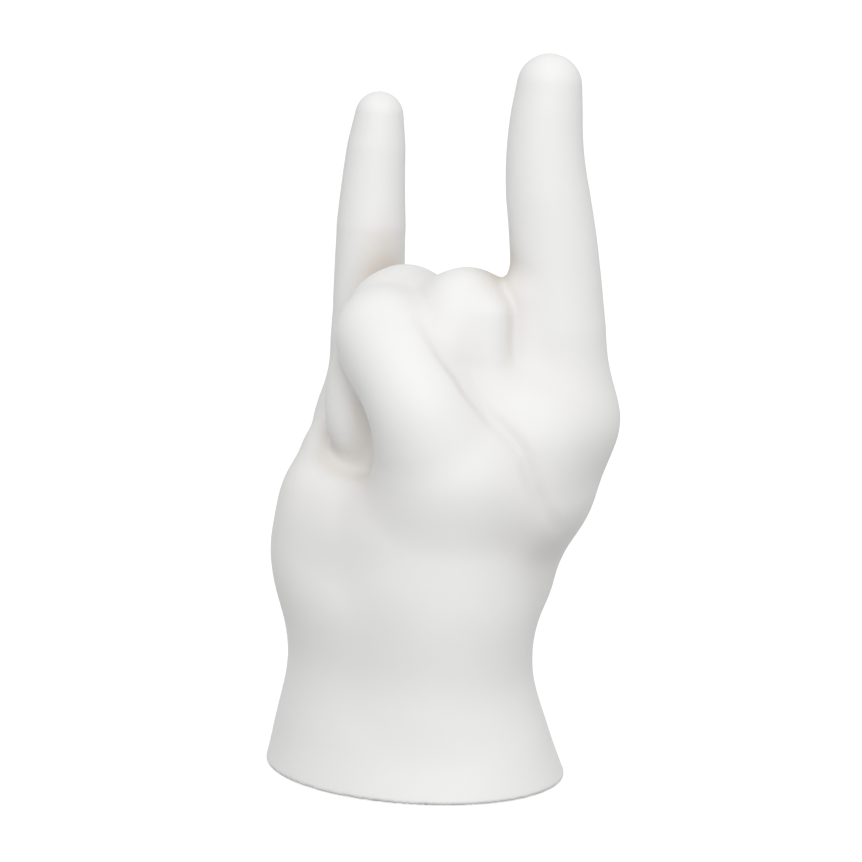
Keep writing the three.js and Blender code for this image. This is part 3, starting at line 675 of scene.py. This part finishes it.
def cast_material(grain, look):
    """Near-white casting resin, with painted shade: a warmer, darker tone mixed in where it is shut in."""
    made, tint = material(
        "Matte cast resin", look.cast_colour, look.cast_mottle, 0.6, grain, 900, 0.25, 0.012,
    )
    nodes, links = made.node_tree.nodes, made.node_tree.links
    # Painted shade: the base colour is mixed towards a warmer, darker tone by how shut in each point is.
    painted_shade = nodes.new("ShaderNodeAttribute")
    painted_shade.attribute_name = "painted_shade"
    deep = nodes.new("ShaderNodeMix")
    deep.data_type = "RGBA"
    deep.inputs["B"].default_value = (*look.painted_shade_colour, 1)
    links.new(painted_shade.outputs["Fac"], deep.inputs["Factor"])
    links.new(tint.outputs["Result"], deep.inputs["A"])
    links.new(deep.outputs["Result"], nodes["Principled BSDF"].inputs["Base Color"])
    return made


class SculptureLook(bpy.types.PropertyGroup):
    """Sizes and colours of the finish."""

    fineness: FloatProperty(
        name="Skin fineness", description="Edge length of the facets of the cast skins",
        default=1.1 * MM, min=0.7 * MM, max=4 * MM, unit="LENGTH", precision=4,
    )
    shell: FloatProperty(
        name="Shell", description="Thickness of each closed skin",
        default=1.5 * MM, min=0.5 * MM, max=3 * MM, unit="LENGTH", precision=4,
    )
    cast_colour: FloatVectorProperty(
        name="Cast colour", description="Colour of the casting resin", subtype="COLOR",
        default=(0.86, 0.86, 0.855), min=0, max=1,
    )
    cast_mottle: FloatVectorProperty(
        name="Cast mottle", description="Second tone of the casting resin", subtype="COLOR",
        default=(0.84, 0.84, 0.832), min=0, max=1,
    )
    # Painted shade: the tone that the casting's colour is mixed towards in its hollows.
    painted_shade_colour: FloatVectorProperty(
        name="Hollow colour", description="Tone of the casting where it is shut in", subtype="COLOR",
        default=(0.62, 0.56, 0.50), min=0, max=1,
    )
    felt_colour: FloatVectorProperty(
        name="Felt colour", description="Colour of the felt pad", subtype="COLOR",
        default=(0.6, 0.6, 0.59), min=0, max=1,
    )


class StudioLook(bpy.types.PropertyGroup):
    """Light, floor and camera."""

    key_power: FloatProperty(
        name="Key light", description="Power of the large lamp over the camera", default=10.8, unit="POWER",
    )
    fill_power: FloatProperty(
        name="Fill light", description="Power of the lamp on the right", default=0.3, unit="POWER",
    )
    ambient: FloatProperty(name="Ambient", description="Strength of the even light of the room", default=0.69)
    camera_distance: FloatProperty(
        name="Camera distance", description="Distance from the camera to the hand",
        default=1.0, unit="LENGTH",
    )


class SCULPTURE_OT_cast_skins(bpy.types.Operator):
    """Build the fine skins of the casting and its five digits"""

    bl_idname = "sculpture.cast_skins"
    bl_label = "Cast skins"

    def execute(self, context):
        look = context.scene.sculpture_look
        size = look.fineness * 1
        bm = relaxed(even_skin(size), RELAX_ROUNDS)
        for field in [zone(name) for name in NODES] + [opening]:
            split_along(bm, field)
        owner = label_faces(bm)
        finish = cast_material(bpy.data.node_groups["Cast grain"], look)
        for number, node in enumerate(["hand_casting", *NODES.values()]):
            piece = bm.copy()
            piece.faces.ensure_lookup_table()
            others = [piece.faces[int(n)] for n in np.flatnonzero(owner != number)]
            bmesh.ops.delete(piece, geom=others, context="FACES")
            bmesh.ops.triangulate(piece, faces=piece.faces)
            piece.normal_update()
            bmesh.ops.solidify(piece, geom=piece.faces[:], thickness=look.shell)
            bmesh.ops.recalc_face_normals(piece, faces=piece.faces)
            skin = to_object(piece, f"{node}_skin", finish)
            p, normals = skin_normals(skin.data)
            # Mask of the painted shade, kept on each skin's points.
            attribute = skin.data.attributes.new("painted_shade", "FLOAT", "POINT")
            attribute.data.foreach_set("value", painted_shade_mask(p, normals).astype(np.float32))
            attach(skin, "root")
            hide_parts(node)
        bm.free()
        return {"FINISHED"}


class SCULPTURE_OT_felt_pad(bpy.types.Operator):
    """Build the pressed felt pad with its soft cut edge"""

    bl_idname = "sculpture.felt_pad"
    bl_label = "Felt pad"

    def execute(self, context):
        look = context.scene.sculpture_look
        low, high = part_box("felt_pad")
        bm = bmesh.new()
        bmesh.ops.create_circle(bm, cap_ends=True, segments=96, radius=1)
        bmesh.ops.scale(bm, verts=bm.verts, vec=((high.x - low.x) / 2, (high.y - low.y) / 2, 1))
        bmesh.ops.translate(bm, verts=bm.verts, vec=(0, 0, low.z))
        grown = bmesh.ops.extrude_face_region(bm, geom=bm.faces[:])["geom"]
        top = [item for item in grown if isinstance(item, bmesh.types.BMVert)]
        bmesh.ops.translate(bm, verts=top, vec=(0, 0, high.z - low.z))
        rims = [edge for edge in bm.edges if abs(edge.verts[0].co.z - edge.verts[1].co.z) < 1e-7]
        bmesh.ops.bevel(
            bm, geom=rims, offset=0.3 * MM, affect="EDGES", segments=3, profile=0.5, material=-1,
        )
        bmesh.ops.recalc_face_normals(bm, faces=bm.faces)
        finish, _ = material(
            "Pressed wool felt", look.felt_colour, [1.15 * c for c in look.felt_colour], 0.93,
            bpy.data.node_groups["Cast grain"], 2500, 0.0, 0.25,
        )
        felt = to_object(bm, "felt_pad_soft", finish)
        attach(felt, "root")
        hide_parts("felt_pad")
        return {"FINISHED"}


class SCULPTURE_OT_fillings(bpy.types.Operator):
    """Give the disc, bung, ballast and rods their own finishes"""

    bl_idname = "sculpture.fillings"
    bl_label = "Disc, bung, ballast and rods"

    def execute(self, context):
        grain = bpy.data.node_groups["Cast grain"]
        steel, _ = material(
            "Drawn steel", (0.42, 0.42, 0.43), (0.55, 0.55, 0.56), 0.34,
            grain, 1500, 0.0, 0.01, 1.0, (1, 1, 0.04),
        )
        fibre, _ = material(
            "Sanded fibreboard", (0.30, 0.19, 0.10), (0.42, 0.29, 0.17), 0.85, grain, 1400, 0.4, 0.08,
        )
        rubber, _ = material(
            "Matt rubber", (0.035, 0.035, 0.037), (0.05, 0.05, 0.052), 0.75, grain, 800, 0.1, 0.02,
        )
        mortar, _ = material(
            "Poured mortar", (0.20, 0.19, 0.17), (0.33, 0.31, 0.28), 0.95, grain, 500, 0.9, 0.25,
        )
        finishes = {"base_disc": fibre, "filler_bung": rubber, "ballast": mortar}
        for name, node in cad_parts.items():
            finish = steel if name.endswith("_rod") else finishes.get(name)
            if finish:
                node.data.materials.clear()
                node.data.materials.append(finish)
        return {"FINISHED"}


class SCULPTURE_OT_studio(bpy.types.Operator):
    """Set the floor, the soft light and the camera"""

    bl_idname = "sculpture.studio"
    bl_label = "Studio"

    def floor(self):
        bm = bmesh.new()
        bmesh.ops.create_circle(bm, cap_ends=True, segments=128, radius=FLOOR_RADIUS)
        made = bpy.data.materials.new("Pale floor")
        made.use_nodes = True
        tree = made.node_tree
        shader = tree.nodes["Principled BSDF"]
        shader.inputs["Base Color"].default_value = (FLOOR_GREY, FLOOR_GREY, FLOOR_GREY, 1)
        shader.inputs["Roughness"].default_value = 0.9
        shader.inputs["Specular IOR Level"].default_value = 0.1
        glow = calculated(tree, "MULTIPLY", looked_at(tree), FLOOR_GLOW)
        shader.inputs["Emission Color"].default_value = (1, 1, 1, 1)
        tree.links.new(glow, shader.inputs["Emission Strength"])
        floor = to_object(bm, "floor", made)

    def lamp(self, name, place, size, power):
        data = bpy.data.lights.new(name, "AREA")
        data.shape = "DISK"
        data.size = size
        data.energy = power
        lamp = bpy.data.objects.new(name, data)
        lamp.location = place
        lamp.rotation_euler = (Vector(LAMP_AIM) - Vector(place)).to_track_quat("-Z", "Y").to_euler()
        bpy.context.scene.collection.objects.link(lamp)

    def world(self, scene, strength):
        world = bpy.data.worlds.new("Studio")
        world.use_nodes = True
        scene.world = world
        nodes, links = world.node_tree.nodes, world.node_tree.links
        plain = nodes["Background"]
        plain.inputs["Color"].default_value = (1, 1, 1, 1)
        plain.inputs["Strength"].default_value = strength
        white = nodes.new("ShaderNodeBackground")
        white.inputs["Color"].default_value = (1, 1, 1, 1)
        mix = nodes.new("ShaderNodeMixShader")
        links.new(looked_at(world.node_tree), mix.inputs["Fac"])
        links.new(plain.outputs[0], mix.inputs[1])
        links.new(white.outputs[0], mix.inputs[2])
        links.new(mix.outputs[0], nodes["World Output"].inputs["Surface"])

    def camera(self, scene, distance):
        azimuth, elevation = math.radians(AZIMUTH), math.radians(ELEVATION)
        level = math.cos(elevation)
        back = Vector((math.sin(azimuth) * level, -math.cos(azimuth) * level, math.sin(elevation)))
        aside = AIM_ASIDE * MM
        target = Vector((aside * math.cos(azimuth), aside * math.sin(azimuth), AIM_HEIGHT * MM))
        data = bpy.data.cameras.new("camera")
        data.sensor_width = SENSOR
        data.lens = SENSOR / VIEW_WIDTH
        camera = bpy.data.objects.new("camera", data)
        camera.location = target + back * distance
        camera.rotation_euler = (-back).to_track_quat("-Z", "Y").to_euler()
        scene.collection.objects.link(camera)
        scene.camera = camera

    def execute(self, context):
        scene, look = context.scene, context.scene.sculpture_studio
        scene.view_settings.view_transform = "Standard"
        self.camera(scene, look.camera_distance)
        self.floor()
        self.world(scene, look.ambient)
        self.lamp("key", (0.90, -0.99, 0.95), 1.0, look.key_power)
        self.lamp("fill", (1.3, 0.1, 0.6), 0.9, look.fill_power)
        return {"FINISHED"}


class SCULPTURE_PT_panel(bpy.types.Panel):
    """Everything that builds the sculpture"""

    bl_idname = "SCULPTURE_PT_panel"
    bl_label = "Cast hand sculpture"
    bl_space_type = "VIEW_3D"
    bl_region_type = "UI"
    bl_category = "Sculpture"

    def draw(self, context):
        for group in (context.scene.sculpture_look, context.scene.sculpture_studio):
            for name in group.bl_rna.properties.keys():
                if name not in ("rna_type", "name"):
                    self.layout.prop(group, name)
        for operator in OPERATORS:
            self.layout.operator(operator.bl_idname)


OPERATORS = (SCULPTURE_OT_cast_skins, SCULPTURE_OT_felt_pad, SCULPTURE_OT_fillings, SCULPTURE_OT_studio)
CLASSES = (SculptureLook, StudioLook, *OPERATORS, SCULPTURE_PT_panel)


def register():
    for cls in CLASSES:
        bpy.utils.register_class(cls)
    bpy.types.Scene.sculpture_look = PointerProperty(type=SculptureLook)
    bpy.types.Scene.sculpture_studio = PointerProperty(type=StudioLook)


def unregister():
    del bpy.types.Scene.sculpture_studio
    del bpy.types.Scene.sculpture_look
    for cls in reversed(CLASSES):
        bpy.utils.unregister_class(cls)


def main():
    register()
    grain_group()
    bpy.ops.sculpture.cast_skins()
    bpy.ops.sculpture.felt_pad()
    bpy.ops.sculpture.fillings()
    bpy.ops.sculpture.studio()


if __name__ == "__main__":
    main()
